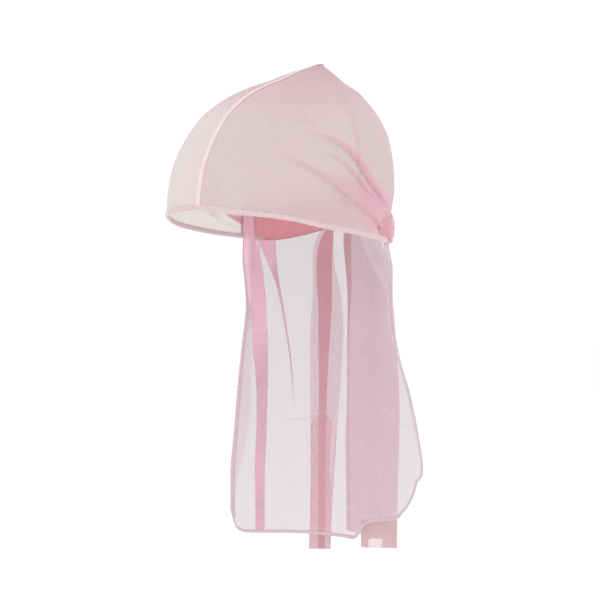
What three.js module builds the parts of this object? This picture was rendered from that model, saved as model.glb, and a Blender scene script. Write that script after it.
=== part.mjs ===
// A sheer durag as it is worn: two side panels, a centre seam, straps wrapped round the back and a long tail.
// Millimetres, +Z up. The wearer looks along -Y, and the wearer's left side is +X.
// The origin is where the top of the head carries the crown.

import * as THREE from 'three';
import { mergeVertices } from 'three/addons/utils/BufferGeometryUtils.js';

// Crown
const CROWN_BREADTH = 155;
const CROWN_LENGTH = 195;
const CROWN_HEIGHT = 105.5;
const RIM_DROP = 27;
const PANEL_WALL = 1.2;
const PLEAT_HEIGHT = 3;
const PLEAT_WIDTH = 7;

// Seams and overlocked edges
const SEAM_WIDTH = 4;
const SEAM_THICKNESS = 1;
const HEM_HEIGHT = 4.2;
const HEM_THICKNESS = 2;

// Straps and their knot
const WRAP_HEIGHT = 21;
const WRAP_THICKNESS = 2.2;
const WRAP_RIDGE = 1.2;
const WRAP_GAP = 0.6;
const KNOT_WIDTH = 44;
const KNOT_DEPTH = 9;
const STRAP_LENGTH = 259;
const STRAP_WIDTH = 36;
const STRAP_WALL = 1.4;
const STRAP_FOLD = 1.6;

// Tail
const TAIL_LENGTH = 237;
const TAIL_FLARE = 26;
const TAIL_WALL = 1.2;
const FOLD_DEPTH = 6;

// Gap between pieces that touch in the real cloth
const CLEARANCE = 0.3;

// Where the head carries the crown, as a share of the crown's height above its front rim
const SEAT_SHARE = 0.875;
const FRONT_RIM = -SEAT_SHARE * CROWN_HEIGHT;

// Level sections of the crown: height as a share of CROWN_HEIGHT, size as a share of the rim ellipse,
// centre towards the back as a share of half of CROWN_LENGTH
const SECTIONS = [
  { height: -0.3, size: 0.982, centre: 0.01 },
  { height: 0, size: 0.985, centre: 0.012 },
  { height: 0.11, size: 0.98, centre: 0.022 },
  { height: 0.28, size: 0.953, centre: 0.048 },
  { height: 0.45, size: 0.888, centre: 0.09 },
  { height: 0.53, size: 0.838, centre: 0.11 },
  { height: 0.62, size: 0.765, centre: 0.13 },
  { height: 0.7, size: 0.67, centre: 0.165 },
  { height: 0.745, size: 0.605, centre: 0.187 },
  { height: 0.79, size: 0.53, centre: 0.228 },
  { height: 0.83, size: 0.435, centre: 0.258 },
  { height: 0.872, size: 0.325, centre: 0.312 },
  { height: 0.915, size: 0.235, centre: 0.358 },
  { height: 0.957, size: 0.135, centre: 0.412 },
  { height: 1, size: 0.02, centre: 0.485 },
];

// How far the rim runs down from the brow: place along half of CROWN_LENGTH, drop as a share of RIM_DROP
const RIM = [
  { place: -1, drop: 0.14 },
  { place: -0.9, drop: 0.26 },
  { place: -0.75, drop: 0.355 },
  { place: -0.6, drop: 0.465 },
  { place: -0.4, drop: 0.635 },
  { place: -0.1, drop: 0.805 },
  { place: 0.2, drop: 0.96 },
  { place: 0.4, drop: 1.045 },
  { place: 0.56, drop: 1.095 },
  { place: 0.7, drop: 1.075 },
  { place: 0.85, drop: 0.935 },
  { place: 1, drop: 0.65 },
];

// Pleats of each side panel, from their free end to the gather: degrees round from the brow,
// heights as shares of CROWN_HEIGHT above the front rim, size as a share of the pleat sizes
const PLEATS = [
  { start: 46, end: 64, from: 0.6, to: 0.545, size: 0.4 },
  { start: 52, end: 118, from: 0.49, to: -0.01, size: 1.1 },
  { start: 64, end: 118, from: 0.36, to: -0.06, size: 0.8 },
  { start: 44, end: 118, from: 0.325, to: -0.115, size: 1.2 },
  { start: 72, end: 104, from: 0.045, to: -0.06, size: 0.6 },
  { start: 92, end: 118, from: -0.1, to: -0.2, size: 0.8 },
];

// Height of the strap where it lies on the crown: share of the way from its gather to the knot,
// share of WRAP_HEIGHT
const WRAP = [
  { along: 0, height: 0.62 },
  { along: 0.25, height: 0.9 },
  { along: 0.5, height: 1 },
  { along: 0.85, height: 0.85 },
  { along: 1, height: 0.6 },
];

// Side edges of the tail: share of TAIL_LENGTH down, shares of TAIL_FLARE outwards on the two sides
const TAIL_EDGE = [
  { down: 0, left: 0, right: 0 },
  { down: 0.25, left: 0, right: 0.15 },
  { down: 0.35, left: 0.2, right: 0.4 },
  { down: 0.5, left: 0.62, right: 0.75 },
  { down: 0.68, left: 0.9, right: 1.1 },
  { down: 0.8, left: 1, right: 1.35 },
];

// Length of the tail across its width, from the right edge to the left one: share of TAIL_LENGTH
const TAIL_BOTTOM = [
  { across: -1, length: 0.92 },
  { across: -0.97, length: 0.98 },
  { across: -0.9, length: 0.998 },
  { across: -0.5, length: 0.995 },
  { across: -0.1, length: 1 },
  { across: 0, length: 0.99 },
  { across: 0.1, length: 0.945 },
  { across: 0.2, length: 0.931 },
  { across: 0.46, length: 0.913 },
  { across: 0.62, length: 0.877 },
  { across: 0.75, length: 0.825 },
  { across: 0.87, length: 0.778 },
  { across: 1, length: 0.72 },
];

// Folds of the tail: place and half width as shares of half of its width, depth as a share of
// FOLD_DEPTH, and how much of the depth is left at the bottom
const TAIL_FOLDS = [
  { place: -0.93, width: 0.07, depth: 0.9, left: 0.7 },
  { place: -0.72, width: 0.07, depth: 0.8, left: 0.3 },
  { place: -0.45, width: 0.12, depth: -0.5, left: 0.8 },
  { place: -0.2, width: 0.08, depth: 0.6, left: 0.9 },
  { place: 0.05, width: 0.1, depth: -0.6, left: 0.7 },
  { place: 0.28, width: 0.07, depth: 0.65, left: 0.9 },
  { place: 0.52, width: 0.08, depth: -0.5, left: 0.6 },
  { place: 0.72, width: 0.07, depth: 0.2, left: 1.4 },
  { place: 0.9, width: 0.08, depth: -0.4, left: 0.9 },
];

// The free straps: share of STRAP_LENGTH down, centre as a share of half of KNOT_WIDTH from the
// middle, width as a share of STRAP_WIDTH
const STRAPS = {
  left: [
    { down: 0, centre: 0.6, width: 0.3 },
    { down: 0.1, centre: 0.5, width: 0.75 },
    { down: 0.25, centre: 0.45, width: 1.05 },
    { down: 0.6, centre: 0.5, width: 1.28 },
    { down: 1, centre: 0.61, width: 0.97 },
  ],
  right: [
    { down: 0, centre: 0.66, width: 0.28 },
    { down: 0.1, centre: 1.4, width: 0.42 },
    { down: 0.25, centre: 1.66, width: 0.6 },
    { down: 0.45, centre: 1.64, width: 0.88 },
    { down: 0.65, centre: 1.7, width: 0.82 },
    { down: 1, centre: 2.05, width: 0.59 },
  ],
};

// Degrees round from the brow at which the wrap and the tail begin, and where the rim's hem ends
const WRAP_START = 112;
const TAIL_START = 116.5;
const HEM_END = TAIL_START - 1;

const halfBreadth = CROWN_BREADTH / 2;
const halfLength = CROWN_LENGTH / 2;
const { clamp, degToRad, lerp, radToDeg, smoothstep } = THREE.MathUtils;

// The wraps end under the sides of the knot
const WRAP_END = 180 - radToDeg(Math.asin(0.84 * KNOT_WIDTH / CROWN_BREADTH));

// Smooth value of a table's column between its rows
function read(table, key, column, at) {
  const last = table.length - 1;
  const place = clamp(at, table[0][key], table[last][key]);
  let row = 0;
  while (row < last - 1 && place > table[row + 1][key]) row += 1;
  const slope = (i) => {
    const before = table[Math.max(i - 1, 0)];
    const after = table[Math.min(i + 1, last)];
    return (after[column] - before[column]) / (after[key] - before[key]);
  };
  const [low, high] = [table[row], table[row + 1]];
  const span = high[key] - low[key];
  const t = (place - low[key]) / span;
  const rise = t * t * (3 - 2 * t);
  return lerp(low[column], high[column], rise)
    + span * (slope(row) * t * (1 - t) ** 2 - slope(row + 1) * t * t * (1 - t));
}

const bump = (distance, width) => Math.exp(-((distance / width) ** 2));

// Height of the rim above the front rim, for an angle round from the brow
const rimLevel = (around) => -RIM_DROP * read(RIM, 'place', 'drop', -Math.cos(degToRad(around)));

// How far round the strap has come between its gather and the knot
const alongWrap = (around) => clamp((around - WRAP_START) / (WRAP_END - WRAP_START), 0, 1);
const wrapHeight = (around) => WRAP_HEIGHT * read(WRAP, 'along', 'height', alongWrap(around));

// Share of the strap's thickness by which it presses the crown in
function pressedIn(around, level) {
  const start = smoothstep(around, WRAP_START - 16, WRAP_START - 2);
  const above = level - rimLevel(around) - wrapHeight(around);
  return start * (1 - smoothstep(above, 0, WRAP_HEIGHT));
}

// Height of the pleats over the plain crown
function pleatLift(around, level) {
  let lift = 0;
  for (const { start, end, from, to, size } of PLEATS) {
    const along = clamp((around - start) / (end - start), 0, 1);
    const path = CROWN_HEIGHT * lerp(from, to, smoothstep(along, 0, 1));
    const width = PLEAT_WIDTH * size * lerp(1.4, 0.9, along);
    const left = Math.min(end + 8, WRAP_START - 2);
    const grown = smoothstep(along, 0, 0.4) * (1 - smoothstep(around, left - 12, left));
    const ridge = bump(level - path, width) - 0.6 * bump(level - path + 1.6 * width, width);
    lift += PLEAT_HEIGHT * size * grown * ridge;
  }
  return lift;
}

// A point of the plain crown, on the side of the wearer's left
function crownShell(around, level) {
  const size = read(SECTIONS, 'height', 'size', level / CROWN_HEIGHT);
  const centre = read(SECTIONS, 'height', 'centre', level / CROWN_HEIGHT);
  const angle = degToRad(around);
  return new THREE.Vector3(
    halfBreadth * size * Math.sin(angle),
    halfLength * (centre - size * Math.cos(angle)),
    FRONT_RIM + level,
  );
}

// Outward direction of the plain crown
function crownNormal(around, level) {
  const step = 0.5;
  const middle = Math.min(level, CROWN_HEIGHT - step);
  const forward = crownShell(around + step, middle).sub(crownShell(around - step, middle));
  const upward = crownShell(around, middle + step).sub(crownShell(around, middle - step));
  return forward.cross(upward).normalize();
}

// A point over the crown by a height, mirrored to a side and kept clear of the middle by a gap
function overCrown(side, around, level, height, gap = 0) {
  const point = crownShell(around, level).addScaledVector(crownNormal(around, level), height);
  point.x = side * (Math.max(point.x, 0) + gap);
  return point;
}

// A closed sheet between an outer and an inner face, each a function of two shares from 0 to 1
function sheet(acrossSteps, downSteps, outer, inner) {
  const positions = [];
  const indices = [];
  const width = acrossSteps + 1;
  const layer = width * (downSteps + 1);
  for (const face of [outer, inner]) {
    for (let row = 0; row <= downSteps; row += 1) {
      for (let column = 0; column <= acrossSteps; column += 1) {
        positions.push(...face(column / acrossSteps, row / downSteps).toArray());
      }
    }
  }
  const quad = (a, b, c, d) => indices.push(a, b, c, a, c, d);
  for (let row = 0; row < downSteps; row += 1) {
    for (let column = 0; column < acrossSteps; column += 1) {
      const a = row * width + column;
      quad(a, a + width, a + width + 1, a + 1);
      quad(layer + a, layer + a + 1, layer + a + width + 1, layer + a + width);
    }
  }
  for (let column = 0; column < acrossSteps; column += 1) {
    const bottom = downSteps * width + column;
    quad(column, column + 1, layer + column + 1, layer + column);
    quad(bottom + 1, bottom, layer + bottom, layer + bottom + 1);
  }
  for (let row = 0; row < downSteps; row += 1) {
    const start = row * width;
    const end = start + acrossSteps;
    quad(start + width, start, layer + start, layer + start + width);
    quad(end, end + width, layer + end + width, layer + end);
  }
  const geometry = new THREE.BufferGeometry();
  geometry.setAttribute('position', new THREE.Float32BufferAttribute(positions, 3));
  geometry.setIndex(indices);
  return faceOut(geometry);
}

// Turns a closed geometry's faces to point outwards
function faceOut(geometry) {
  const point = geometry.getAttribute('position');
  const index = geometry.getIndex();
  const corner = (i) => new THREE.Vector3().fromBufferAttribute(point, index.getX(i));
  let volume = 0;
  for (let i = 0; i < index.count; i += 3) {
    volume += corner(i).dot(corner(i + 1).cross(corner(i + 2)));
  }
  if (volume < 0) {
    for (let i = 0; i < index.count; i += 3) {
      const first = index.getX(i);
      index.setX(i, index.getX(i + 1));
      index.setX(i + 1, first);
    }
  }
  geometry.computeVertexNormals();
  return geometry;
}

const cloth = (colour) => new THREE.MeshStandardMaterial({ color: colour, roughness: 0.75, metalness: 0 });
const sheerPink = cloth('#e2d2d4');
const foldedPink = cloth('#d79fb2');
const hemPink = cloth('#ebdcde');

const durag = new THREE.Group();

function add(name, geometry, material) {
  const mesh = new THREE.Mesh(geometry, material);
  mesh.name = name;
  durag.add(mesh);
}

// Level on the way up from a bottom to the peak, with the steps closer together near the peak
const levelUp = (bottom, up) => lerp(bottom, CROWN_HEIGHT, lerp(up, Math.sin(Math.PI / 2 * up), 0.45));

// Side panels, with the steps closest together where the pleats lie
const PANEL_STEPS = [
  { across: 0, around: 0 },
  { across: 0.2, around: 0.25 },
  { across: 0.47, around: 0.44 },
  { across: 0.75, around: 0.64 },
  { across: 1, around: 1 },
];

function panel(side) {
  const aroundSteps = 28;
  const upSteps = 22;
  const face = (depth) => (across, up) => {
    const around = 180 * read(PANEL_STEPS, 'across', 'around', across);
    const bottom = rimLevel(around) + HEM_HEIGHT + CLEARANCE;
    const level = levelUp(bottom, up);
    const inset = WRAP_THICKNESS * pressedIn(around, level);
    const height = pleatLift(around, level) - inset - depth;
    return overCrown(side, around, level, height, CLEARANCE / 2);
  };
  return sheet(aroundSteps, upSteps, face(0), face(PANEL_WALL));
}

// Highest and lowest levels of the knot
const knotBottom = rimLevel(180);
const knotTop = knotBottom + WRAP_HEIGHT;

// The seam's middle line over the crown, from the front rim to the peak and down to the knot
const SEAM_FRONT_STEPS = 24;
const SEAM_BACK_STEPS = 16;
const SEAM_STEPS = SEAM_FRONT_STEPS + 1 + SEAM_BACK_STEPS;

function seamLine(step) {
  if (step <= SEAM_FRONT_STEPS) {
    const bottom = rimLevel(0) + HEM_HEIGHT + CLEARANCE;
    return { around: 0, level: levelUp(bottom, step / SEAM_FRONT_STEPS) };
  }
  return { around: 180, level: levelUp(knotTop + CLEARANCE, (SEAM_STEPS - step) / SEAM_BACK_STEPS) };
}

function centreSeam() {
  const face = (height) => (across, along) => {
    const { around, level } = seamLine(Math.round(along * SEAM_STEPS));
    const sag = SEAM_THICKNESS * 0.4 * (2 * across - 1) ** 2;
    const point = crownShell(around, level);
    const peaked = smoothstep(level, CROWN_HEIGHT - SEAM_WIDTH, CROWN_HEIGHT);
    const normal = crownNormal(around, level).lerp(new THREE.Vector3(0, 0, 1), peaked).normalize();
    point.addScaledVector(normal, CLEARANCE + SEAM_THICKNESS * 0.6 + height - sag);
    point.x = SEAM_WIDTH * (across - 0.5);
    return point;
  };
  return sheet(2, SEAM_STEPS, face(SEAM_THICKNESS), face(0));
}

// Overlocked edge of the front and the sides
function rimHem() {
  const face = (height) => (along, down) => {
    const turn = lerp(-HEM_END, HEM_END, along);
    const around = Math.abs(turn);
    const level = rimLevel(around) + HEM_HEIGHT * (1 - down);
    const round = Math.sin(Math.PI * clamp(down, 0.08, 0.92));
    const inset = WRAP_THICKNESS * pressedIn(around, level);
    const offset = height * round * HEM_THICKNESS / 2 - PANEL_WALL / 2 - inset;
    return overCrown(Math.sign(turn) || 1, around, level, offset);
  };
  return sheet(48, 3, face(1), face(-1));
}

// Strap as it lies on the crown, from its gather to the knot
function wrap(side) {
  const face = (thickness) => (along, up) => {
    const around = lerp(WRAP_START, WRAP_END, along);
    const overHem = HEM_HEIGHT + CLEARANCE;
    const bottom = overHem * (1 - smoothstep(around, TAIL_START, TAIL_START + 12));
    const level = rimLevel(around) + bottom + wrapHeight(around) * up;
    const grown = smoothstep(along, 0, 0.25);
    const rounded = lerp(0.3, 1, Math.sqrt(Math.sin(Math.PI * up)));
    const ridges = WRAP_RIDGE * grown * Math.sin(Math.PI * 3 * up) ** 2;
    const inset = WRAP_THICKNESS * pressedIn(around, level);
    const thin = lerp(0.4, 1, grown) * WRAP_THICKNESS;
    return overCrown(side, around, level, thickness * (thin + ridges) * rounded + WRAP_GAP - inset);
  };
  return sheet(14, 7, face(1), face(0));
}

// Middle of the knot, behind the back of the crown and its seam
function knotCentre() {
  const height = KNOT_DEPTH / 2 - WRAP_THICKNESS + CLEARANCE;
  return overCrown(1, 180, (knotBottom + knotTop) / 2, height);
}

// Where the straps are tied
function backKnot() {
  const ball = new THREE.SphereGeometry(1, 12, 8);
  ball.deleteAttribute('normal');
  ball.deleteAttribute('uv');
  const knot = mergeVertices(ball, 1e-4);
  const back = knotCentre();
  const point = knot.getAttribute('position');
  for (let i = 0; i < point.count; i += 1) {
    const twist = 1 - 0.15 * Math.sin(4 * point.getX(i) + 3 * point.getZ(i)) ** 2;
    point.setXYZ(
      i,
      point.getX(i) * KNOT_WIDTH / 2,
      back.y + point.getY(i) * twist * KNOT_DEPTH / 2,
      back.z + point.getZ(i) * WRAP_HEIGHT / 2,
    );
  }
  return faceOut(knot);
}

// A point of the tail's outer face, from its right edge at -1 to its left edge at 1
function tailPoint(across, down, offset, inset = 0) {
  const around = lerp(180, TAIL_START, Math.abs(across));
  const top = crownShell(around, rimLevel(around));
  const middle = top.z + HEM_HEIGHT;
  const length = TAIL_LENGTH * read(TAIL_BOTTOM, 'across', 'length', across) - inset;
  const hang = TAIL_LENGTH + rimLevel(around) - rimLevel(TAIL_START);
  const drop = Math.min(down, 1) * (hang - TAIL_LENGTH + length + HEM_HEIGHT);
  const share = clamp(drop / TAIL_LENGTH, 0, 1);
  const side = across > 0 ? 'left' : 'right';
  const flare = TAIL_FLARE * read(TAIL_EDGE, 'down', side, share) * Math.abs(across) ** 1.5;
  let fold = 0;
  for (const { place, width, depth, left } of TAIL_FOLDS) {
    fold += FOLD_DEPTH * depth * lerp(1, left, share) * bump(across - place, width);
  }
  const settled = smoothstep(drop, HEM_HEIGHT, HEM_HEIGHT + WRAP_HEIGHT);
  const outward = new THREE.Vector3(top.x / halfBreadth, top.y / halfLength, 0).normalize();
  const inward = -(WRAP_THICKNESS + PANEL_WALL) * (1 - settled);
  const point = new THREE.Vector3(top.x, top.y, middle - drop);
  point.addScaledVector(outward, flare + fold * settled + inward + offset);
  point.x *= Math.sign(across) || 1;
  return point;
}

// A point of the tail inside its border by an inset
const tailHalfWidth = halfLength * degToRad(180 - TAIL_START);
const tailInside = (across, down, offset, inset) => (
  tailPoint(across * (1 - inset / tailHalfWidth), down, offset, inset)
);

// Place across the tail, with the steps closer together near its sides
const tailAcross = (along) => lerp(2 * along - 1, -Math.cos(Math.PI * along), 0.7);

// The curtain of cloth below the back rim
const TAIL_COLUMNS = 44;
const TAIL_ROWS = 11;

function tail() {
  const inset = HEM_HEIGHT + 2 * CLEARANCE;
  const face = (offset) => (along, down) => tailInside(tailAcross(along), down, offset, inset);
  return sheet(TAIL_COLUMNS, TAIL_ROWS, face(0), face(-TAIL_WALL));
}

// Overlocked edge down one side of the tail, along its bottom and up the other side
function tailHem() {
  const steps = 2 * TAIL_ROWS + TAIL_COLUMNS;
  const face = (height) => (along, inwards) => {
    const step = along * steps;
    const across = tailAcross(clamp((step - TAIL_ROWS) / TAIL_COLUMNS, 0, 1));
    const down = clamp(Math.min(step, steps - step) / TAIL_ROWS, 0, 1);
    const round = Math.sin(Math.PI * clamp(inwards, 0.12, 0.88));
    const offset = (height * round * HEM_THICKNESS - TAIL_WALL) / 2;
    return tailInside(across, down, offset, HEM_HEIGHT * inwards);
  };
  return sheet(steps, 2, face(1), face(-1));
}

// A free end of a strap, from the underside of the knot to its hem
function strap(side, table, share) {
  const knot = knotCentre();
  const face = (outer) => (across, down) => {
    const centre = side * KNOT_WIDTH / 2 * read(table, 'down', 'centre', down);
    const width = STRAP_WIDTH * read(table, 'down', 'width', down);
    const x = centre + width * (across - 0.5);
    const fold = STRAP_FOLD * Math.cos(3 * Math.PI * across) * smoothstep(down, 0, 0.15);
    const clear = (FOLD_DEPTH * 0.7 + WRAP_THICKNESS) * smoothstep(down, 0, 0.3);
    const thickness = STRAP_WALL * lerp(2, 1, smoothstep(down, 0, 0.3));
    const under = Math.sqrt(1 - Math.min(Math.abs(2 * x / KNOT_WIDTH), 1) ** 2) * WRAP_HEIGHT / 2;
    const top = knot.z - under - CLEARANCE;
    const bottom = FRONT_RIM + knotBottom - STRAP_LENGTH * share;
    return new THREE.Vector3(x, knot.y + fold + clear + (outer ? 0.5 : -0.5) * thickness, lerp(top, bottom, down));
  };
  return sheet(7, 12, face(true), face(false));
}

add('crown_left', panel(1), sheerPink);
add('crown_right', panel(-1), sheerPink);
add('centre_seam', centreSeam(), hemPink);
add('rim_hem', rimHem(), hemPink);
add('wrap_left', wrap(1), foldedPink);
add('wrap_right', wrap(-1), foldedPink);
add('back_knot', backKnot(), foldedPink);
add('tail', tail(), sheerPink);
add('tail_hem', tailHem(), hemPink);
add('strap_left', strap(1, STRAPS.left, 0.975), foldedPink);
add('strap_right', strap(-1, STRAPS.right, 1), foldedPink);

export default durag;
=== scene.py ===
"""A sheer pink durag in the form that a head gives it, with its ties and its long tail."""

import bpy
import numpy as np
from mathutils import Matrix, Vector


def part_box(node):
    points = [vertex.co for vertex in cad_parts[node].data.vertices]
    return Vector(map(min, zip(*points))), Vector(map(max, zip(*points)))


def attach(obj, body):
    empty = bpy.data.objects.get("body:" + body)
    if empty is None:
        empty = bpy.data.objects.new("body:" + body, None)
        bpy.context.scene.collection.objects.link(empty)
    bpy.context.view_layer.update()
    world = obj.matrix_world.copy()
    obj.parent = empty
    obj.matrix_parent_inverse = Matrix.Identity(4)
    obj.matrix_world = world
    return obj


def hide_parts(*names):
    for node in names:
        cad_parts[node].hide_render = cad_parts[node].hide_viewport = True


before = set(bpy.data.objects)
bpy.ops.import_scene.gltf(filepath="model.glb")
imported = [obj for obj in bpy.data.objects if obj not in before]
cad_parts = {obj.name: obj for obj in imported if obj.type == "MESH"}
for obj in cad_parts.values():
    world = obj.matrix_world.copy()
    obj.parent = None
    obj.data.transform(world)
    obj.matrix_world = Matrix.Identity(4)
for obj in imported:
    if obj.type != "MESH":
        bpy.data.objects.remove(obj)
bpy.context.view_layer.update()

# Sizes in metres, as in the solids
MM = 0.001
CROWN_BREADTH = 155 * MM
CROWN_LENGTH = 195 * MM
CROWN_HEIGHT = 105.5 * MM
RIM_DROP = 27 * MM
HEM_HEIGHT = 4.2 * MM
HEM_THICKNESS = 1.9 * MM
SEAM_WIDTH = 4 * MM
SEAM_THICKNESS = 1 * MM
WRAP_HEIGHT = 21 * MM
WRAP_THICKNESS = 2.2 * MM
KNOT_WIDTH = 44 * MM
TAIL_LENGTH = 237 * MM
TAIL_FLARE = 26 * MM
PLEAT_HEIGHT = 1.7 * MM

# The threads: length of a stitch, radius at the rim and on the tail, and the length of the rim
STITCH = 2.7 * MM
RIM_THREAD = 0.26 * MM
TAIL_THREAD = 0.16 * MM
RIM_LENGTH = 0.44

# The side panels' distance from the middle, and the seam's height over the crown without its bulge
PANEL_GAP = 0.2 * MM
SEAM_LIFT = 0.1 * MM

# The tail: how far its cloth lies in from the rim behind the wraps, how far its right edge reaches
# up inside the crown, and half of its hem's thickness
TAIL_SET_IN = 3.4 * MM
TAIL_REACH_UP = 24 * MM
TAIL_HEM_HALF = 0.7 * MM

# The free straps: length along the cloth, how far back they hang, height of their waves, and the
# slope of their ends
STRAP_LENGTH = 0.26
STRAP_BEHIND = 6.4 * MM
STRAP_WAVE = 1.2 * MM
STRAP_SLANT = 0.08

# How far the edges of a flat fold lie before or behind the cloth
TAIL_FOLD_DEPTH = 0.2 * MM
STRAP_FOLD_DEPTH = 0.6 * MM

# Ridges over the height of a wrap, and the place across the tail where its first fold ends
WRAP_RIDGES = 4.5
FIRST_FOLD_END = -0.79

# Places in degrees round from the brow
HEM_END = 115.5
TAIL_START = 116.5
WRAP_START = 112
RIGHT_PLEATS_START = 84
RIGHT_PLEATS_FADE = (96, 104)

# For the left side, 1, and the right one, -1, in the same degrees: where the gather's colour grows,
# and where the red inside starts at the rim, with how much sooner for each millimetre up
GATHER_GROWS = {1: (84, 99), -1: (115, 121)}
RED_STARTS = {1: (118, 0), -1: (127, 1.32)}

# Layers of cloth at which its last colour sets in, and the most that pleats and gather reach
LAST_COLOUR_FROM = 0.8
MOST_LAYERS = 0.79

# Places that the solids give
HEM_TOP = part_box("rim_hem")[1][2]
KNOT_LOW, KNOT_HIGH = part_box("back_knot")

half_breadth = CROWN_BREADTH / 2
half_length = CROWN_LENGTH / 2
wrap_end = 180 - np.degrees(np.arcsin(0.84 * KNOT_WIDTH / CROWN_BREADTH))


def table(columns, *rows):
    """A table with named columns: a dictionary from each column's name to its array."""
    return dict(zip(columns.split(), np.array(rows, float).T))


# Level sections of the crown: height as a share of the crown's, size as a share of its half
# breadth and half length, and how far back the middle lies as a share of the half length
SECTIONS = table(
    "height size centre",
    (-0.3, 0.982, 0.01), (0, 0.985, 0.012), (0.11, 0.98, 0.022), (0.28, 0.953, 0.048),
    (0.45, 0.888, 0.09), (0.53, 0.838, 0.11), (0.62, 0.765, 0.13), (0.7, 0.67, 0.165),
    (0.745, 0.605, 0.187), (0.79, 0.53, 0.228), (0.83, 0.435, 0.258), (0.872, 0.325, 0.312),
    (0.915, 0.235, 0.358), (0.957, 0.135, 0.412), (1, 0.02, 0.485),
)

# How far the rim runs down from the brow, by its place along half of the crown's length
RIM = table(
    "place drop",
    (-1, 0.14), (-0.9, 0.26), (-0.75, 0.355), (-0.6, 0.465), (-0.4, 0.635), (-0.1, 0.805),
    (0.2, 0.96), (0.4, 1.045), (0.56, 1.095), (0.7, 1.075), (0.85, 0.935), (1, 0.65),
)
FRONT_RIM = HEM_TOP - HEM_HEIGHT + RIM_DROP * RIM["drop"][0]

# Height of the strap on the crown, by the share of its way to the knot
WRAP = table("along height", (0, 0.62), (0.25, 0.9), (0.5, 1), (0.85, 0.85), (1, 0.6))

# Pleats of a side panel: degrees round from the brow, the pleat's lower and upper edges as shares
# of the crown's height, its height in pleat heights, and how many layers of cloth it seems to add
PLEATS = (
    table("around low high size layers", (50, 0.511, 0.526, 0, 0), (59, 0.482, 0.503, 0.5, 0.25),
          (67, 0.449, 0.484, 0.8, 0.45), (76, 0.384, 0.44, 1, 0.65), (83, 0.308, 0.392, 1.1, 0.75),
          (88, 0.222, 0.34, 1.1, 0.75), (94, 0.136, 0.254, 1, 0.7), (102, 0.055, 0.15, 0.9, 0.65),
          (109, 0.006, 0.08, 0.6, 0.6), (124, -0.05, -0.01, 0.2, 0.5)),
    table("around low high size layers", (64, 0.365, 0.372, 0, 0), (70, 0.33, 0.348, 0.7, 0.05),
          (78, 0.262, 0.3, 1, 0.1), (84, 0.184, 0.25, 1, 0.15), (88, 0.122, 0.19, 0.8, 0.25),
          (98, 0.033, 0.07, 0.3, 0.3), (106, -0.02, 0, 0, 0.3)),
    table("around low high size layers", (38, 0.335, 0.35, 0, 0), (45, 0.308, 0.325, 0.4, 0.1),
          (52, 0.279, 0.296, 0.7, 0.35), (58, 0.238, 0.267, 0.9, 0.5), (64, 0.19, 0.234, 1, 0.5),
          (72, 0.114, 0.212, 0.9, 0.5), (80, 0.042, 0.2, 0.8, 0.55), (88, -0.03, 0.185, 0.7, 0.6),
          (96, -0.09, 0.155, 0.6, 0.65), (106, -0.155, 0.1, 0.4, 0.7), (124, -0.23, 0, 0.1, 0.7)),
    table("around low high size layers", (70, 0.066, 0.072, 0, 0), (75, 0.041, 0.06, 0.8, 0.1),
          (80, 0.016, 0.04, 0.8, 0.1), (87, -0.014, 0.01, 0, 0.1)),
    table("around low high size layers", (92, -0.085, -0.075, 0, 0), (98, -0.118, -0.09, 0.6, 0.3),
          (104, -0.156, -0.12, 0.7, 0.45), (120, -0.23, -0.19, 0.3, 0.5)),
    table("around low high size layers", (48, 0.59, 0.595, 0, 0), (53, 0.575, 0.6, 0.6, 0),
          (58, 0.56, 0.585, 0.5, 0), (63, 0.545, 0.55, 0, 0)),
)

# Side edges of the tail, and its length from the right edge to the left one
TAIL_EDGE = table(
    "down left right",
    (0, 0, 0), (0.25, 0, 0.15), (0.35, 0.2, 0.4), (0.5, 0.62, 0.75), (0.68, 0.94, 1.1),
    (0.74, 0.98, 1.24), (0.8, 0.86, 1.35),
)
TAIL_BOTTOM = table(
    "across length",
    (-1, 0.92), (-0.97, 0.98), (-0.9, 0.998), (-0.5, 0.995), (-0.1, 1), (0, 0.99), (0.1, 0.945),
    (0.2, 0.931), (0.46, 0.913), (0.62, 0.877), (0.75, 0.825), (0.87, 0.78), (1, 0.735),
)

# Flat folds of the tail, from its right edge on. Down from the rim in metres, each fold's near and
# far edge across the tail: the cloth runs on to the far edge, back to the near one and on again
TAIL_FOLDS = (
    table("down near far", (0, -0.974, -0.92), (0.02, -0.955, -0.875), (0.047, -0.955, -0.845),
          (0.074, -0.95, -0.82), (0.1, -0.895, -0.805), (0.137, -0.865, -0.8),
          (0.237, -0.855, -0.805)),
    table("down near far", (0, -0.885, -0.77), (0.007, -0.875, -0.765), (0.032, -0.765, -0.735),
          (0.057, -0.705, -0.69), (0.097, -0.637, -0.63), (0.137, -0.605, -0.6048)),
)

# Denser zones of the tail, in the same way: its turned right edge, and the soft bands where it
# bunches beside its left edge and beside a strap
TAIL_ZONES = (
    table("down near far", (0, -1.2, -0.9), (0.04, -1.2, -0.94), (0.07, -1.2, -0.957),
          (0.14, -1.2, -0.925), (0.18, -1.2, -0.96), (0.22, -1.2, -1.02)),
)
TAIL_BUNCHES = (
    table("down near far", (0, 0.62, 1.1), (0.04, 0.66, 1.1), (0.09, 0.8, 1.1), (0.11, 1.06, 1.1)),
    table("down near far", (0.13, -0.4, -0.4), (0.15, -0.42, -0.36), (0.18, -0.42, -0.3),
          (0.21, -0.4, -0.32), (0.23, -0.36, -0.36)),
)

# Creases that cross the tail: down in metres, and where they start and end across it
TAIL_CREASES = table(
    "down start end strength",
    (0.148, -0.75, -0.1, 0.3), (0.146, 0.3, 0.9, 0.3), (0.202, -0.8, -0.5, 0.12),
)

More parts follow.
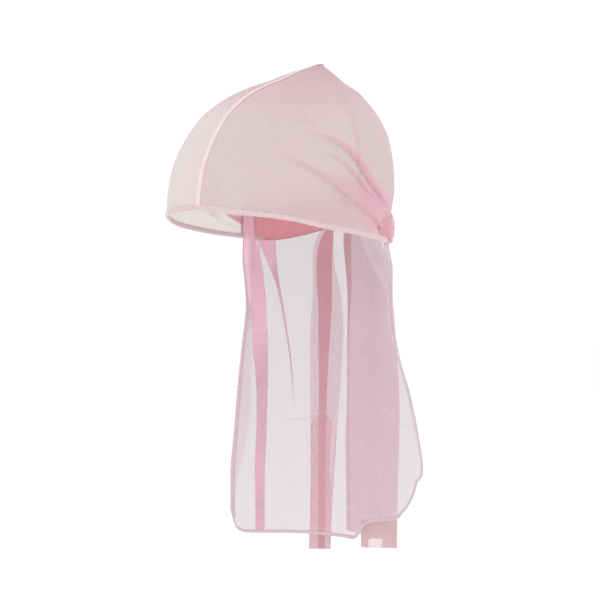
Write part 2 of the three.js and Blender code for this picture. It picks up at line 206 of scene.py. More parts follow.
# Soft waves of the tail: place and half width across it, height, and share left at the bottom
TAIL_WAVES = table(
    "place width height left",
    (-0.5, 0.14, -3, 0.8), (-0.2, 0.1, 3, 0.9), (0.06, 0.1, -3, 0.7), (0.24, 0.08, 3, 0.9),
    (0.6, 0.08, -2.5, 0.6), (0.92, 0.06, -2, 0.9),
)

# The free straps, by the share of the way down and in metres from the middle: side edges, flat
# folds in the same way as the tail's, denser zones, and clearer places, which are a light line and
# the window in the left strap's hem, and a gap beside the right strap's fold. Then how much denser
# a zone is, where the plain hem starts, and the flat size
STRAPS = {
    "strap_left": {
        "edges": table(
            "down near far",
            (0, -0.012, 0.008), (0.05, -0.0162, 0.018), (0.17, -0.0152, 0.024),
            (0.35, -0.0162, 0.0285), (0.55, -0.017, 0.0335), (0.68, -0.0185, 0.0335),
            (0.85, -0.018, 0.0325), (0.94, -0.018, 0.032), (0.948, -0.0175, 0.032),
            (0.96, -0.0035, 0.032), (0.966, -0.003, 0.032), (1, -0.003, 0.032),
        ),
        "folds": (
            table("down near far", (0, -0.0118, -0.006), (0.05, -0.0161, -0.0094),
                  (0.17, -0.0151, -0.0114), (0.35, -0.0161, -0.0154), (1, -0.0155, -0.0153)),
        ),
        "zones": (
            table("down near far", (0, -0.02, -0.001), (0.05, -0.02, 0.003), (0.2, -0.02, 0.0205),
                  (0.35, -0.02, 0.031), (0.6, -0.03, 0.04), (1, -0.03, 0.04)),
        ),
        "gaps": (
            table("down near far", (0, -0.0016, -0.0004), (0.05, 0.0024, 0.0036),
                  (0.12, 0.0105, 0.0117), (0.2, 0.0196, 0.0208), (0.28, 0.0262, 0.0272),
                  (0.33, 0.0295, 0.0297), (0.34, 0.03, 0.03)),
            table("down near far", (0, 0.01, 0.01), (0.969, 0.01, 0.01), (0.974, 0.0055, 0.016),
                  (1, 0.0055, 0.016)),
        ),
        "dense": 0.22,
        "hem_start": 0.91,
        "flat": (0.05, 0.26),
    },
    "strap_right": {
        "edges": table(
            "down near far",
            (0, -0.022, -0.016), (0.05, -0.0382, -0.0262), (0.105, -0.047, -0.0282),
            (0.17, -0.049, -0.028), (0.23, -0.0502, -0.0232), (0.33, -0.0532, -0.0202),
            (0.45, -0.0536, -0.022), (0.6, -0.0534, -0.0255), (0.85, -0.0534, -0.0318),
            (1, -0.055, -0.0338),
        ),
        "folds": (
            table("down near far", (0, -0.0215, -0.0165), (0.105, -0.0422, -0.0292),
                  (0.33, -0.0452, -0.035), (0.56, -0.0452, -0.039), (1, -0.046, -0.041)),
        ),
        "zones": (
            table("down near far", (0, -0.0215, -0.0165), (0.105, -0.0422, -0.0292),
                  (0.33, -0.0452, -0.035), (0.595, -0.0452, -0.039), (0.635, -0.055, -0.03),
                  (1, -0.06, -0.02)),
        ),
        "gaps": (
            table("down near far", (0.62, -0.031, -0.031), (0.68, -0.034, -0.03),
                  (0.76, -0.035, -0.031), (0.82, -0.033, -0.033)),
        ),
        "dense": 0.5,
        "hem_start": 0.94,
        "flat": (0.04, 0.26),
    },
}

# The camera: a little above the rim's height, turned to the wearer's left side
VIEW_TURN = 38.0
VIEW_RISE = 3.3
VIEW_DISTANCE = 1.6
VIEW_TARGET = Vector((0.0112, 0.0087, -0.164))
PIXELS_PER_METRE = 1337.0
IMAGE_WIDTH = 600
SENSOR_WIDTH = 36.0

# The studio: brightness of the white world, the floor, and each light's place, size and power
WORLD_STRENGTH = 1.02
FLOOR_LEVEL = -0.62
FLOOR_RADIUS = 5.5
LIGHTS = {
    "key": ((1.6, -1.8, 1.5), 1.6, 12),
    "fill": ((-1.9, -1.2, 0.6), 1.8, 4),
    "back": ((0.4, 2.0, 1.2), 1.6, 5),
}


def read(rows, key, column, at):
    """A table's column at any place of its key column, by the cubic through each pair of rows
    whose slopes there are those between the rows on either side."""
    keys, values = rows[key], rows[column]
    last = len(keys) - 1
    place = np.clip(at, keys[0], keys[-1])
    row = np.clip(np.searchsorted(keys, place, side="right") - 1, 0, last - 1)
    before = np.maximum(np.arange(last + 1) - 1, 0)
    after = np.minimum(np.arange(last + 1) + 1, last)
    slope = (values[after] - values[before]) / (keys[after] - keys[before])
    span = keys[row + 1] - keys[row]
    t = (place - keys[row]) / span
    rise = t * t * (3 - 2 * t)
    bend = slope[row] * t * (1 - t) ** 2 - slope[row + 1] * t * t * (1 - t)
    return values[row] + (values[row + 1] - values[row]) * rise + span * bend


def smooth(at, low, high):
    """Rises from 0 at low to 1 at high, level at both ends."""
    t = np.clip((at - low) / (high - low), 0, 1)
    return t * t * (3 - 2 * t)


def mix(low, high, share):
    """The value at a share of the way from low to high."""
    return low + (high - low) * share


def bump(distance, width):
    """A bell of height 1 whose half width is given."""
    return np.exp(-((distance / width) ** 2))


def grid(columns, rows, across=(0, 1), down=(0, 1)):
    """Two arrays of rows by columns that run across and down between the given limits."""
    return np.meshgrid(np.linspace(*across, columns), np.linspace(*down, rows))


def full_turn(steps):
    """Limits of a turn in a number of steps, the last of them one step short of the first."""
    return 0, 2 * np.pi * (steps - 1) / steps


def rim_level(around):
    """Height of the rim above the front rim, by the angle round from the brow."""
    return -RIM_DROP * read(RIM, "place", "drop", -np.cos(np.radians(around)))


def wrap_height(around):
    """Height of the strap where it lies on the crown."""
    along = (around - WRAP_START) / (wrap_end - WRAP_START)
    return WRAP_HEIGHT * read(WRAP, "along", "height", along)


def pressed_in(around, level):
    """Share of the strap's thickness by which it presses the crown in."""
    start = smooth(around, WRAP_START - 16, WRAP_START - 2)
    return start * (1 - smooth(level - rim_level(around) - wrap_height(around), 0, WRAP_HEIGHT))


def crown_shell(around, level):
    """The plain crown: at each level an ellipse whose size and centre come from SECTIONS."""
    size = read(SECTIONS, "height", "size", level / CROWN_HEIGHT)
    centre = read(SECTIONS, "height", "centre", level / CROWN_HEIGHT)
    angle = np.radians(around)
    x = half_breadth * size * np.sin(angle)
    y = half_length * (centre - size * np.cos(angle))
    return np.stack([x, y, FRONT_RIM + level + 0 * x], -1)


def facing_out(side, *grids):
    """The grids as they are on the left side, and in reverse across on the right side, so that
    the faces look outwards on both."""
    return grids if side > 0 else tuple(values[:, ::-1] for values in grids)


def unit(vectors):
    """The vectors at length 1."""
    return vectors / np.maximum(np.linalg.norm(vectors, axis=-1, keepdims=True), 1e-12)


def over_crown(side, around, level, height, gap=0.0):
    """A point at a height over the plain crown, mirrored to a side. The outward direction there
    comes from the points half a degree and half a millimetre away."""
    around, level = np.broadcast_arrays(np.asarray(around, float), np.asarray(level, float))
    middle = np.minimum(level, CROWN_HEIGHT - 0.5 * MM)
    forward = crown_shell(around + 0.5, middle) - crown_shell(around - 0.5, middle)
    upward = crown_shell(around, middle + 0.5 * MM) - crown_shell(around, middle - 0.5 * MM)
    normal = unit(np.cross(forward, upward))
    point = crown_shell(around, level) + normal * np.asarray(height)[..., None]
    point[..., 0] = side * (np.maximum(point[..., 0], 0) + gap)
    return point


def pleats(side, around, level):
    """Height of the pleats over the plain crown, and the layers that they seem to add, with painted
    shade that makes the crown darker and pinker towards its top. Each pleat is a band: steep at its
    lower edge, with a groove below it, and soft at its upper edge. The right side's pleats start
    later, and their colour ends where the inside shows red."""
    left = side > 0
    lift = 0 * level
    # Painted shade: the first term raises the layers towards the top of the crown, so that it turns
    # darker and pinker there
    layers = 0.42 * smooth(level / CROWN_HEIGHT, 0.55, 0.85) + 0.22 * smooth(around, 98, 126)
    for pleat in PLEATS:
        low, high = (CROWN_HEIGHT * read(pleat, "around", key, around) for key in ("low", "high"))
        size, share = (read(pleat, "around", key, around) for key in ("size", "layers"))
        start = pleat["around"][0] if left else max(pleat["around"][0], RIGHT_PLEATS_START)
        reach = smooth(around, start, start + (3 if left else 16))
        above_middle = smooth(level, mix(low, high, 0.5), high + 2 * MM)
        inside = smooth(level, low - 0.4 * MM, low + 0.9 * MM) * (1 - above_middle)
        groove = bump(level - low + 1.1 * MM, 1.1 * MM)
        fade = reach * (1 - smooth(around, WRAP_START - 8, WRAP_START + 6))
        lift += PLEAT_HEIGHT * size * fade * (inside - 0.45 * groove)
        seen = reach if left else 0.5 * reach * (1 - smooth(around, *RIGHT_PLEATS_FADE))
        layers += share * seen * inside + 0.16 * size * seen * bump(level - low, 0.8 * MM)
    above = level - rim_level(around)
    gathered = smooth(around, *GATHER_GROWS[side])
    gather = 0.62 * gathered * (1 - smooth(above, 18 * MM, 46 * MM))
    start, sooner = RED_STARTS[side]
    start = start - sooner * above / MM
    top = wrap_height(around) + 3 * MM
    red = smooth(around, start - 2, start + 2) * (1 - smooth(above, top, top + 4 * MM))
    return lift, np.maximum(np.minimum(layers + gather, MOST_LAYERS), red)


def folded(folds, down, start, end, steps):
    """Places across a cloth that runs from start to end and doubles back at each flat fold, and
    how far it lies in front there: 1 at a fold's far edge and -1 at its near edge."""
    place, front = [0 * down + start], [0 * down]
    for fold in folds:
        place += [read(fold, "down", "far", down), read(fold, "down", "near", down)]
        front += [0 * down + 1, 0 * down - 1]
    place, front = np.array(place + [0 * down + end]), np.array(front + [0 * down])
    lengths = np.abs(np.diff(place, axis=0)).mean(axis=1)
    places, fronts = [], []
    for leg, length in enumerate(lengths):
        count = max(int(steps * length / lengths.sum()), 6)
        t = (0.5 - 0.5 * np.cos(np.pi * np.arange(count) / count))[:, None]
        places.append(mix(place[leg], place[leg + 1], t))
        fronts.append(mix(front[leg], front[leg + 1], t))
    return np.concatenate(places + [place[-1:]]).T, np.concatenate(fronts + [front[-1:]]).T


def doubled(folds, place, down, edge):
    """Share of doubled cloth at a place: 1 between the edges of any flat fold, with soft sides."""
    inside = 0 * place
    for fold in folds:
        near, far = read(fold, "down", "near", down), read(fold, "down", "far", down)
        wide = np.minimum((far - near) / (2 * edge), 1)
        beside = smooth(place, near - 2 * edge, near) * (1 - smooth(place, far, far + 2 * edge))
        inside = np.maximum(inside, wide * beside)
    return inside


class Shader:
    """A material's node tree, and the one method that adds a node to it."""

    def __init__(self, name):
        self.material = bpy.data.materials.new(name)
        self.material.use_nodes = True
        self.tree = self.material.node_tree
        self.tree.nodes.clear()

    def node(self, kind, settings=None, inputs=None, output=0):
        """Adds a node, makes its settings, then gives its sockets values or links."""
        made = self.tree.nodes.new(kind)
        for key, value in (settings or {}).items():
            setattr(made, key, value)
        for key, value in (inputs or {}).items():
            if isinstance(value, Socket):
                self.tree.links.new(value.socket, made.inputs[key])
            else:
                made.inputs[key].default_value = value
        return Socket(self, made.outputs[output]) if made.outputs else made


class Socket:
    """A value in a shader. Arithmetic on it adds Math nodes."""

    def __init__(self, shader, socket):
        self.shader = shader
        self.socket = socket

    def math(self, operation, *values):
        return self.shader.node(
            "ShaderNodeMath", {"operation": operation}, dict(enumerate(values))
        )

    def __add__(self, other):
        return self.math("ADD", self, other)

    def __sub__(self, other):
        return self.math("SUBTRACT", self, other)

    def __rsub__(self, other):
        return self.math("SUBTRACT", other, self)

    def __mul__(self, other):
        return self.math("MULTIPLY", self, other)

    __radd__ = __add__
    __rmul__ = __mul__

    def sine(self):
        return self.math("SINE", self)

    def clamp(self, low=0.0, high=1.0):
        return self.shader.node("ShaderNodeClamp", None, {"Value": self, "Min": low, "Max": high})


def colours(shader, factor, low, high):
    """A colour between two colours by a factor. The low one may be another node's colour."""
    settings = {"data_type": "RGBA"}
    inputs = {0: factor, 6: low if isinstance(low, Socket) else (*low, 1), 7: (*high, 1)}
    return shader.node("ShaderNodeMix", settings, inputs, output=2)


def finish(shader, inputs):
    """The Principled shader with the given inputs, as the material's surface."""
    surface = shader.node("ShaderNodeBsdfPrincipled", None, inputs)
    shader.node("ShaderNodeOutputMaterial", None, {"Surface": surface})
    return shader.material


# Colours of the cloth by how many layers lie over each other; the right side's pale colour and the
# tail's triple-layer colour also carry painted light
CROWN_PALE = (0.62, 0.5, 0.505)
CROWN_PLEAT = (0.67, 0.37, 0.45)
# Painted light: the right side's pale colour is lighter than the left side's. It stands in for
# light on the panel's inner face, which is seen in shade
RIGHT_PALE_WITH_PAINTED_LIGHT = (0.7, 0.57, 0.575)
TAIL_PALE = (0.5, 0.4, 0.44)
TAIL_FOLDED = (0.6, 0.38, 0.43)
# Painted light: this colour for three layers is lighter than stacked cloth would be, to offset the
# shade under the crown and between the layers. Its deeper pink is the real tone of stacked cloth
TAIL_TRIPLE_WITH_PAINTED_LIGHT = (0.95, 0.59, 0.7)
STRAP_PALE = (0.76, 0.52, 0.58)
STRAP_FOLDED = (0.98, 0.34, 0.47)
STRAP_HEM = (0.56, 0.34, 0.38)
INSIDE_RED = (0.8, 0.34, 0.38)


def noise(shader, place, scale, detail):
    """A noise that lies still in the object, about 1 / scale metres coarse."""
    inputs = {"Vector": place, "Scale": scale, "Detail": detail}
    return shader.node("ShaderNodeTexNoise", None, inputs)


def relief_normal(shader, height, strength, distance):
    """The normal that a relief gives, with its height in shares of a distance."""
    inputs = {"Strength": strength, "Distance": distance, "Height": height}
    return shader.node("ShaderNodeBump", None, inputs)


def sheer_cloth(name, rib, single_alpha, full_alpha, pale, deep, last):
    """Sheer ribbed mesh: paler and clearer where one layer lies, pinker and denser where the
    layers attribute rises, and in its last colour near 1. The clear attribute makes it
    clearer without a change of colour. Ribs run along the UV map's second axis."""
    shader = Shader(name)
    layers = shader.node("ShaderNodeAttribute", {"attribute_name": "layers"}, output=2)
    clear = shader.node("ShaderNodeAttribute", {"attribute_name": "clear"}, output=2)
    uv = shader.node("ShaderNodeUVMap", {"uv_map": "cloth"})
    across = shader.node("ShaderNodeSeparateXYZ", None, {0: uv}, output=0)
    place = shader.node("ShaderNodeTexCoord", output=3)
    grain = noise(shader, place, 900.0, 2.0)
    cloud = noise(shader, place, 28.0, 3.0)
    ribs = (across * (2 * np.pi / rib)).sine()
    thick = (layers + (cloud - 0.5) * 0.16).clamp()
    colour = colours(shader, (thick * (1 / LAST_COLOUR_FROM)).clamp(), pale, deep)
    beyond = (thick - LAST_COLOUR_FROM) * (1 / (1 - LAST_COLOUR_FROM))
    colour = colours(shader, beyond.clamp(), colour, last)
    alpha = mix(single_alpha, full_alpha, thick) + ribs * 0.03 + (grain - 0.5) * 0.05
    rough = 0.72 + (grain - 0.5) * 0.2
    relief = ribs * 0.6 + grain * 0.3
    normal = relief_normal(shader, relief, 0.5, 0.4 * MM)
    return finish(shader, {
        "Base Color": colour,
        "Roughness": rough,
        "Alpha": (alpha * (1 - clear * 0.45)).clamp(0.02, 1.0),
        "Normal": normal,
        "Sheen Weight": 0.25,
        "Sheen Roughness": 0.5,
        "Specular IOR Level": 0.25,
    })


def thread_finish(name, pale, deep, scale):
    """Spun thread or a rolled edge: two near colours in a fine mottle with a soft relief."""
    shader = Shader(name)
    place = shader.node("ShaderNodeTexCoord", output=3)
    mottle = noise(shader, place, scale, 3.0)
    return finish(shader, {
        "Base Color": colours(shader, mottle, pale, deep),
        "Roughness": 0.55 + mottle * 0.25,
        "Normal": relief_normal(shader, mottle, 0.4, 0.2 * MM),
        "Sheen Weight": 0.2,
    })


def plain(name, colour):
    """The floor's even, pale, matt finish."""
    shader = Shader(name)
    return finish(shader, {"Base Color": (*colour, 1), "Roughness": 0.9})


def make(name, points, material, uv=None, layers=None, clear=None, closed=False):
    """A mesh from a grid of points of rows by columns, with the cloth's uv map, layers and clear
    places where they are given. A closed one joins its last row to its first, and has a cap at
    both its ends across."""
    rows, columns = points.shape[:2]
    index = np.arange(rows * columns).reshape(rows, columns)
    if closed:
        index = np.vstack([index, index[:1]])
    quads = np.stack([index[:-1, :-1], index[1:, :-1], index[1:, 1:], index[:-1, 1:]], -1)
    faces = quads.reshape(-1, 4).tolist()
    if closed:
        faces += [index[:-1, 0][::-1].tolist(), index[:-1, -1].tolist()]
    mesh = bpy.data.meshes.new(name)
    mesh.from_pydata(points.reshape(-1, 3), [], faces)
    mesh.polygons.foreach_set("use_smooth", np.ones(len(faces), bool))
    corners = np.empty(len(mesh.loops), int)
    mesh.loops.foreach_get("vertex_index", corners)
    if uv is not None:
        flat = np.stack(uv, -1).reshape(-1, 2)
        mesh.uv_layers.new(name="cloth").data.foreach_set("uv", flat[corners].ravel())
    for key, share in (("layers", layers), ("clear", clear)):
        if share is not None:
            attribute = mesh.attributes.new(key, "FLOAT", "POINT")
            attribute.data.foreach_set("value", np.clip(share, 0, 1).ravel())
    mesh.update()
    piece = bpy.data.objects.new(name, mesh)
    bpy.context.scene.collection.objects.link(piece)
    piece.data.materials.append(material)
    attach(piece, "root")
    return piece


def tube(name, path, reference, radius, material, sides=5):
    """A tube along a path: at each point a ring of a few sides across the path's direction,
    turned so that it starts on the side of the reference vector."""
    tangent = unit(np.gradient(path, axis=0))
    side = unit(np.cross(tangent, reference))
    out = np.cross(side, tangent)
    angle = np.linspace(0, 2 * np.pi, sides, endpoint=False)[:, None, None]
    ring = path + radius * (np.cos(angle) * out + np.sin(angle) * side)
    return make(name, ring, material, closed=True)


CROWN_CLOTH = {
    "crown_left": sheer_cloth(
        "sheer left side", 2.5 * MM, 0.82, 0.97, CROWN_PALE, CROWN_PLEAT, INSIDE_RED
    ),
    # Painted light: the right side takes the lightened pale colour
    "crown_right": sheer_cloth(
        "sheer right side with painted light", 2.5 * MM, 0.5, 0.97, RIGHT_PALE_WITH_PAINTED_LIGHT, CROWN_PLEAT, INSIDE_RED
    ),
}
TAIL_CLOTH = sheer_cloth("sheer tail", 1.5 * MM, 0.49, 0.88, TAIL_PALE, TAIL_FOLDED, TAIL_TRIPLE_WITH_PAINTED_LIGHT)
STRAP_CLOTH = sheer_cloth(
    "gathered strap", 1.8 * MM, 0.35, 0.85, STRAP_PALE, STRAP_FOLDED, STRAP_HEM
)
EDGE = thread_finish("rolled edge", (0.62, 0.46, 0.49), (0.72, 0.57, 0.6), 700.0)
THREADS = thread_finish("overlock thread", (0.77, 0.65, 0.67), (0.85, 0.75, 0.77), 2500.0)
TAIL_EDGE_CLOTH = thread_finish("rolled tail edge", (0.6, 0.44, 0.48), (0.68, 0.52, 0.56), 700.0)
TAIL_THREADS = thread_finish("tail thread", (0.66, 0.5, 0.54), (0.74, 0.6, 0.63), 2500.0)
SEAM_CLOTH = thread_finish("seam binding", (0.75, 0.58, 0.61), (0.81, 0.65, 0.68), 600.0)


def level_up(bottom, up):
    """Level on the way up to the peak, with the steps closer together near the peak."""
    return mix(bottom, CROWN_HEIGHT, mix(up, np.sin(np.pi / 2 * up), 0.45))


def side_panel(name, side):
    """One half of the crown: round from the brow to the back, and up from the hem to the peak."""
    across, up = grid(260, 170)
    around = 180 * across
    over_hem = 0.6 * HEM_HEIGHT * (1 - smooth(around, TAIL_START, TAIL_START + 2))
    level = level_up(rim_level(around) + over_hem, up)
    lift, layers = pleats(side, around, level)
    inset = WRAP_THICKNESS * pressed_in(around, level)
    points = over_crown(side, around, level, lift - inset, PANEL_GAP)
    points, forward, level, layers = facing_out(
        side, points, np.radians(around) * half_length, level, layers
    )
    piece = make(name, points, CROWN_CLOTH[name], uv=(forward, level), layers=layers)
    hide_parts(name)


def seam_path(columns):
    """The seam's middle line and its outward direction, from the front rim over the peak and
    down to the knot."""
    up = np.linspace(0, 1, columns)
    front = level_up(rim_level(0) + HEM_HEIGHT * 0.5, up)
    back = level_up(KNOT_HIGH[2] - FRONT_RIM, up)[::-1]
    around = np.concatenate([0 * up, 0 * up + 180])
    level = np.concatenate([front, back])
    base = over_crown(1, around, level, 0 * level)
    out = over_crown(1, around, level, 0 * level + MM) - base
    peaked = smooth(level, CROWN_HEIGHT - 8 * MM, CROWN_HEIGHT)[:, None]
    out = unit(mix(unit(out), np.array([0, 0, 1.0]), peaked))
    return base, out


def centre_seam():
    """The raised seam: a flat oval section, about a third as thick as the solid's, carried along
    the seam's middle line."""
    base, out = seam_path(150)
    turn = np.linspace(0, 2 * np.pi, 24, endpoint=False)[:, None, None]
    width = np.array([0.95, 0, 0]) * SEAM_WIDTH / 2
    height = SEAM_LIFT + 0.35 * SEAM_THICKNESS * (0.5 + 0.5 * np.sin(turn))
    points = base + width * np.cos(turn) + out * height
    piece = make("centre_seam_binding", points, SEAM_CLOTH, closed=True)
    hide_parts("centre_seam")


def rim_surface(along, turn, height=0.0):
    """The rim hem: an oval section that stands in the crown's surface, carried round the rim."""
    sideways = mix(-HEM_END, HEM_END, along)
    around = np.abs(sideways)
    level = rim_level(around) + HEM_HEIGHT * (0.55 + 0.4 * np.cos(turn))
    inset = WRAP_THICKNESS * pressed_in(around, level)
    offset = (HEM_THICKNESS / 2 + height) * np.sin(turn) - inset
    point = over_crown(1, around, level, offset)
    point[..., 0] *= np.where(sideways < 0, -1, 1)
    point[..., 2] += height * np.cos(turn)
    return point


def tail_surface(across, drop, height=0.0):
    """The tail: it hangs from the back rim, flares to its sides and carries its waves."""
    share = np.clip(drop / TAIL_LENGTH, 0, 1)
    settled = smooth(drop, HEM_HEIGHT, HEM_HEIGHT + WRAP_HEIGHT)
    tucked = 3.6 * smooth(-across, 0.85, 1) * (1 - smooth(drop, 0, 0.06))
    around = mix(180, TAIL_START, np.abs(across)) - tucked
    top = crown_shell(around, rim_level(around))
    left, right = read(TAIL_EDGE, "down", "left", share), read(TAIL_EDGE, "down", "right", share)
    flare = TAIL_FLARE * np.where(across > 0, left, right) * np.abs(across) ** 1.5
    wave = 0 * drop
    for place, width, high, stays in zip(*TAIL_WAVES.values()):
        wave += high * MM * mix(1, stays, share) * bump(across - place, width)
    outward = unit(np.stack([top[..., 0] / half_breadth, top[..., 1] / half_length, 0 * share], -1))
    reach = flare + (wave + TAIL_SET_IN) * settled - TAIL_SET_IN + height
    point = top + outward * reach[..., None]
    point[..., 0] *= np.where(across < 0, -1, 1)
    point[..., 2] += HEM_HEIGHT - drop
    return point


def tail_drop(across, down, inset=0.0):
    """How far below its upper edge a point of the tail hangs, by a share of the way down. Its
    right edge starts higher up, inside the crown."""
    around = mix(180, TAIL_START, np.abs(across))
    length = TAIL_LENGTH * read(TAIL_BOTTOM, "across", "length", across) - inset
    start = mix(-TAIL_REACH_UP, 0.9 * HEM_HEIGHT, smooth(across, -0.945, -0.915))
    return mix(start, rim_level(around) - rim_level(TAIL_START) + length + HEM_HEIGHT, down)


tail_half_width = half_length * np.radians(180 - TAIL_START)


def slim_hem(down):
    """Size of the tail's hem on its right side, where its turned edge hides it near the rim."""
    return mix(0.3, 1, smooth(down, 0.1, 0.45))


def tail():
    """The curtain of cloth below the back rim, with its flat folds."""
    rows = np.linspace(0, 1, 150)
    border = 0.5 * HEM_HEIGHT / tail_half_width
    right, left = border * slim_hem(rows) - 1, 1 - border
    across, front = folded(TAIL_FOLDS, rows * TAIL_LENGTH, right, left, 420)
    across = np.clip(across, right[:, None], left)
    drop = tail_drop(across, rows[:, None], HEM_HEIGHT / 2)
    points = tail_surface(across, drop, TAIL_FOLD_DEPTH * front)
    # Painted light: near the rim, where the crown shades it, the turned edge counts as full layers,
    # so that it takes the tail's brightest colour. Lower down it is the real doubled edge
    turned = mix(1, 0.42, smooth(drop, 0.04, 0.09))
    layers = turned * doubled(TAIL_ZONES, across, drop, 0.02)
    layers = np.maximum(layers, 0.2 * doubled(TAIL_BUNCHES, across, drop, 0.02))
    # Painted light: the flat folds keep full layers, and with them the tail's brightest colour,
    # down to where they leave the crown's shade. The first fold keeps them further down than the
    # others. Below that, their three layers take a mix of the folded and triple colours
    first = across < FIRST_FOLD_END
    below_painted_light = np.where(first, smooth(drop, 0.05, 0.12), smooth(drop, 0.01, 0.04))
    dense = mix(1, 0.89, below_painted_light)
    down = rows[:, None] * TAIL_LENGTH + 0 * across
    layers = np.maximum(layers, dense * doubled(TAIL_FOLDS, across, down, 0.003))
    for level, start, end, strength in zip(*TAIL_CREASES.values()):
        reach = smooth(across, start, start + 0.1) * (1 - smooth(across, end - 0.1, end))
        layers += strength * reach * bump(drop - level - 0.002 * np.sin(9 * across), 0.0009)
    uv = (drop, across * tail_half_width)
    piece = make("tail_curtain", points, TAIL_CLOTH, uv=uv, layers=layers)
    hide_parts("tail")


def tail_border(along):
    """Place across and down the tail of a point that runs round its border: down the right side,
    along the bottom and up the left side."""
    side = TAIL_LENGTH * 0.85
    whole = 2 * side + 2 * tail_half_width * 1.25
    run = along * whole
    down = np.clip(np.minimum(run, whole - run) / side, 0, 1)
    across = np.clip((run - side) / (whole - 2 * side), 0, 1) * 2 - 1
    return across, down, whole


def tail_hem_surface(along, turn, height=0.0):
    """The tail's hem: an oval section that stands in the cloth, carried round its border."""
    across, down, _ = tail_border(along)
    slim = np.where(across > 0, 1, slim_hem(down))
    inset = slim * (0.6 * HEM_HEIGHT * (0.5 - 0.5 * np.cos(turn)) - height * np.cos(turn))
    inside = across * (1 - inset / tail_half_width)
    offset = slim * (TAIL_HEM_HALF + height) * np.sin(turn)
    return tail_surface(inside, tail_drop(inside, down, inset), offset)


def hem(node, surface, length, cloth, threads, thread):
    """A rolled edge and the thread that winds round it, one turn for each stitch."""
    along, turn = grid(int(length / (1.6 * MM)), 14, down=full_turn(14))
    edge = make(node + "_edge", surface(along, turn), cloth, closed=True)
    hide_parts(node)
    stitches = int(length / STITCH)
    run = np.linspace(0, 1, stitches * 14)
    turn = 2 * np.pi * stitches * run
    lean = 0.3 / stitches * np.sin(turn)
    path = surface(run + lean, turn, thread * 0.8)
    reference = path - surface(run + lean, turn, 0.0)
    winding = tube(node + "_thread", path, unit(reference), thread, threads)


def wrap(name, side):
    """The strap on the crown: a closed bundle of folds between its gather and the knot."""
    along, turn = grid(120, 96, down=full_turn(96))
    around = mix(WRAP_START - (8 if side > 0 else 0), wrap_end, along)
    up = 0.5 - 0.5 * np.cos(turn)
    outer = smooth(np.sin(turn), -0.02, 0.25)
    over_hem = HEM_HEIGHT * (1 - smooth(around, TAIL_START, TAIL_START + 12))
    level = rim_level(around) + over_hem + wrap_height(around) * up
    folds = np.abs(np.sin(np.pi * (WRAP_RIDGES * up + 0.5 * along))) ** 0.7
    grown = smooth(along, 0, 0.3)
    rounded = np.sqrt(np.sin(np.pi * up) + 0.02)
    thick = WRAP_THICKNESS * mix(0.15, 1, grown) * (0.8 + 0.45 * folds) * rounded
    inset = WRAP_THICKNESS * pressed_in(around, level)
    points = over_crown(side, around, level, 0.5 * MM - inset + outer * thick)
    layers = mix(0.3, 0.5, 1 - folds) * mix(0.5, 1, grown) + 0.1
    points, level, forward, layers = facing_out(
        side, points, level, np.radians(around) * half_length, layers
    )
    uv = (level, forward)
    piece = make(name + "_folds", points, STRAP_CLOTH, uv=uv, layers=layers, closed=True)
    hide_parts(name)


def knot():
    """The knot: a rounded form with folds that run slantwise over it."""
    centre = (np.array(KNOT_LOW) + np.array(KNOT_HIGH)) / 2
    half = (np.array(KNOT_HIGH) - np.array(KNOT_LOW)) / 2
    turn, rise = grid(120, 60, across=full_turn(120), down=(0.02, np.pi - 0.02))
    folds = 1 - 0.1 * np.abs(np.sin(4 * turn + 2.5 * np.cos(rise))) * np.sin(rise)
    ring = np.sin(rise) * folds
    points = np.stack([np.cos(rise), ring * np.cos(turn), ring * np.sin(turn)], -1)
    points = (centre + half * points).transpose(1, 0, 2)[::-1]
    layers = (0.4 + 2 * (1 - folds)).T[::-1]
    uv = (points[..., 0], points[..., 2])
    piece = make("back_knot_folds", points, STRAP_CLOTH, uv=uv, layers=layers, closed=True)
    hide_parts("back_knot")


def free_strap(name, edges, folds, zones, gaps, dense, hem_start, flat):
    """A free end from a row of STRAPS: narrow and folded at the knot, wider and softer below, to
    its plain hem."""
    rows = np.sin(np.pi / 2 * np.linspace(0, 1, 200))
    near, far = read(edges, "down", "near", rows), read(edges, "down", "far", rows)
    x, front = folded(folds, rows, near, far, 160)
    x = np.clip(x, near[:, None], far[:, None])
    down = np.broadcast_to(rows[:, None], x.shape)
    middle = (np.array(KNOT_LOW) + np.array(KNOT_HIGH)) / 2
    behind = STRAP_BEHIND * smooth(down, 0, 0.3)
    wave = STRAP_WAVE * np.cos(x / (5 * MM) + 2 * down) * smooth(down, 0, 0.2)
    under = np.sqrt(1 - np.clip(np.abs(2 * x / KNOT_WIDTH), 0, 1) ** 2)
    top = middle[2] - under * (KNOT_HIGH[2] - middle[2])
    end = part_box(name)[0][2] + STRAP_SLANT * (x - far.max())
    depth = middle[1] + behind + wave + STRAP_FOLD_DEPTH * front
    points = np.stack([x, depth, mix(top, end, down)], -1)
    layers = 0.3 + dense * doubled(zones, x, down, 0.4 * MM)
    hemmed = smooth(down, hem_start, hem_start + 0.008) * smooth(x, near[-1] - MM, near[-1])
    layers = np.maximum(layers, 0.98 * hemmed)
    clear = doubled(gaps, x, down, 0.2 * MM)
    uv = (down * STRAP_LENGTH, x)
    piece = make(name + "_cloth", points, STRAP_CLOTH, uv=uv, layers=layers, clear=clear)
    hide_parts(name)


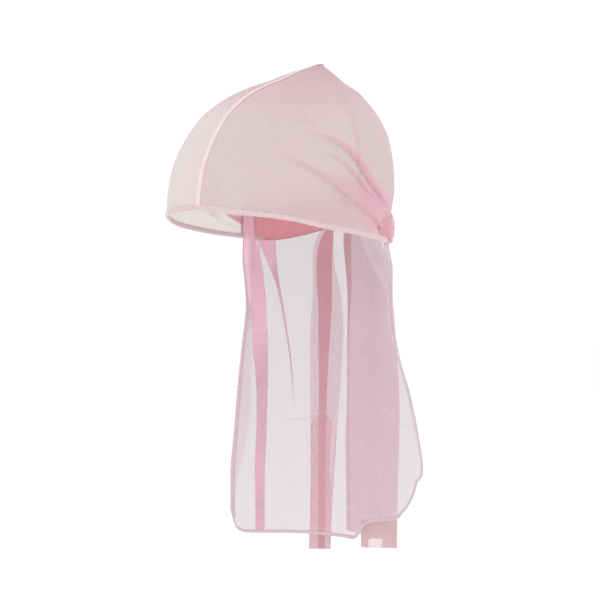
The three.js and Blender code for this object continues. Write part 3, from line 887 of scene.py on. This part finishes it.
def camera():
    """The camera looks at the middle of the photograph's frame."""
    turn, rise = np.radians(VIEW_TURN), np.radians(VIEW_RISE)
    back = Vector((np.sin(turn) * np.cos(rise), -np.cos(turn) * np.cos(rise), np.sin(rise)))
    data = bpy.data.cameras.new("camera")
    data.sensor_width = SENSOR_WIDTH
    data.lens = SENSOR_WIDTH * VIEW_DISTANCE * PIXELS_PER_METRE / IMAGE_WIDTH
    made = bpy.data.objects.new("camera", data)
    made.location = VIEW_TARGET + back * VIEW_DISTANCE
    made.rotation_euler = back.to_track_quat("Z", "Y").to_euler()
    bpy.context.scene.collection.objects.link(made)
    bpy.context.scene.camera = made


def area_light(name, place, size, power):
    """A soft square light that faces the object."""
    data = bpy.data.lights.new(name, "AREA")
    data.size = size
    data.energy = power
    made = bpy.data.objects.new(name, data)
    made.location = place
    made.rotation_euler = (Vector(place) - VIEW_TARGET).to_track_quat("Z", "Y").to_euler()
    bpy.context.scene.collection.objects.link(made)


def studio():
    """A white world, a round pale floor well below the object, and soft lights."""
    world = bpy.data.worlds.new("studio")
    world.use_nodes = True
    background = world.node_tree.nodes["Background"]
    background.inputs["Color"].default_value = (1, 1, 1, 1)
    background.inputs["Strength"].default_value = WORLD_STRENGTH
    bpy.context.scene.world = world
    turn, out = grid(97, 40, across=(0, 2 * np.pi))
    radius = 0.02 + FLOOR_RADIUS * out
    points = np.stack([radius * np.cos(turn), radius * np.sin(turn), FLOOR_LEVEL + 0 * out], -1)
    floor = make("floor", points, plain("floor", (0.98, 0.98, 0.98)))
    for name, (place, size, power) in LIGHTS.items():
        area_light(name, place, size, power)


side_panel("crown_left", 1)
side_panel("crown_right", -1)
centre_seam()
hem("rim_hem", rim_surface, RIM_LENGTH, EDGE, THREADS, RIM_THREAD)
tail()
tail_border_length = float(tail_border(np.zeros(1))[2])
hem("tail_hem", tail_hem_surface, tail_border_length, TAIL_EDGE_CLOTH, TAIL_THREADS, TAIL_THREAD)
wrap("wrap_left", 1)
wrap("wrap_right", -1)
knot()
for strap_name, strap in STRAPS.items():
    free_strap(strap_name, **strap)
camera()
studio()
scene = bpy.context.scene
scene.view_settings.view_transform = "Standard"
scene.cycles.transparent_max_bounces = 48
